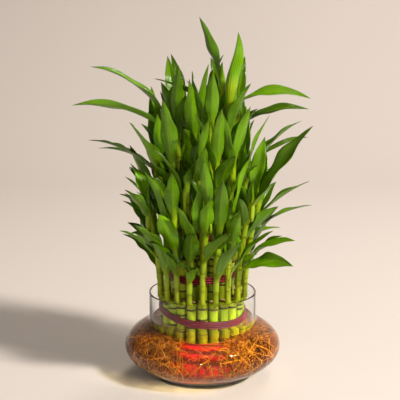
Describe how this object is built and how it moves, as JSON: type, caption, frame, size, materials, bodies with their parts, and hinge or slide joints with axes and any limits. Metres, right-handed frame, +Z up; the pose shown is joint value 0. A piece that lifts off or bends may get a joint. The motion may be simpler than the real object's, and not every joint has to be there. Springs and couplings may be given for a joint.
{
  "type": "lucky bamboo in a glass bowl",
  "caption": "Tiered bundle of leafy lucky bamboo canes tied with red satin ribbon, rooted in a clear round glass bowl of water with a straight neck and a flat foot",
  "frame": {"origin": "centre of the flat underside of the bowl's foot, on the surface the bowl stands on", "axes": "+Z up along the canes, -Y towards the front, +X to the viewer's right"},
  "size_m": [0.24, 0.1628, 0.3668],
  "materials": {
    "glass": "clear blown glass, fire-polished rim",
    "water": "still water, faintly tinted by the roots",
    "roots": "wet fibrous orange-brown roots",
    "ribbon": "red satin ribbon",
    "cane": "smooth green cane with brown node scars and a dry cut top",
    "leaf": "glossy green leaves and a yellow-green cane, grown as one piece"
  },
  "bodies": {
    "root": {"base_ribbon": "ribbon", "core_cane_01": "cane", "core_cane_02": "cane", "core_cane_03": "cane", "glass_vase": "glass", "lower_cane_01": "leaf", "lower_cane_02": "leaf", "lower_cane_03": "leaf", "lower_cane_04": "leaf", "lower_cane_05": "leaf", "lower_cane_06": "cane", "lower_cane_07": "cane", "lower_cane_08": "leaf", "lower_cane_09": "leaf", "lower_cane_10": "leaf", "lower_cane_11": "leaf", "lower_cane_12": "leaf", "lower_cane_13": "leaf", "lower_cane_14": "leaf", "lower_cane_15": "leaf", "lower_cane_16": "leaf", "lower_cane_17": "cane", "lower_cane_18": "cane", "lower_cane_19": "leaf", "lower_cane_20": "leaf", "lower_cane_21": "leaf", "lower_cane_22": "leaf", "lower_ribbon": "ribbon", "middle_cane_01": "leaf", "middle_cane_02": "leaf", "middle_cane_03": "leaf", "middle_cane_04": "leaf", "middle_cane_05": "leaf", "middle_cane_06": "leaf", "middle_cane_07": "leaf", "middle_cane_08": "leaf", "middle_cane_09": "leaf", "middle_cane_10": "leaf", "middle_cane_11": "leaf", "middle_cane_12": "leaf", "middle_cane_13": "leaf", "middle_cane_14": "leaf", "middle_cane_15": "leaf", "middle_cane_16": "leaf", "middle_ribbon": "ribbon", "root_mass": "roots", "upper_cane_01": "leaf", "upper_cane_02": "leaf", "upper_cane_03": "leaf", "upper_cane_04": "leaf", "upper_cane_05": "leaf", "upper_cane_06": "leaf", "upper_cane_07": "leaf", "upper_cane_08": "leaf", "upper_cane_09": "leaf", "upper_ribbon": "ribbon", "water": "water"}
  },
  "joints": []
}
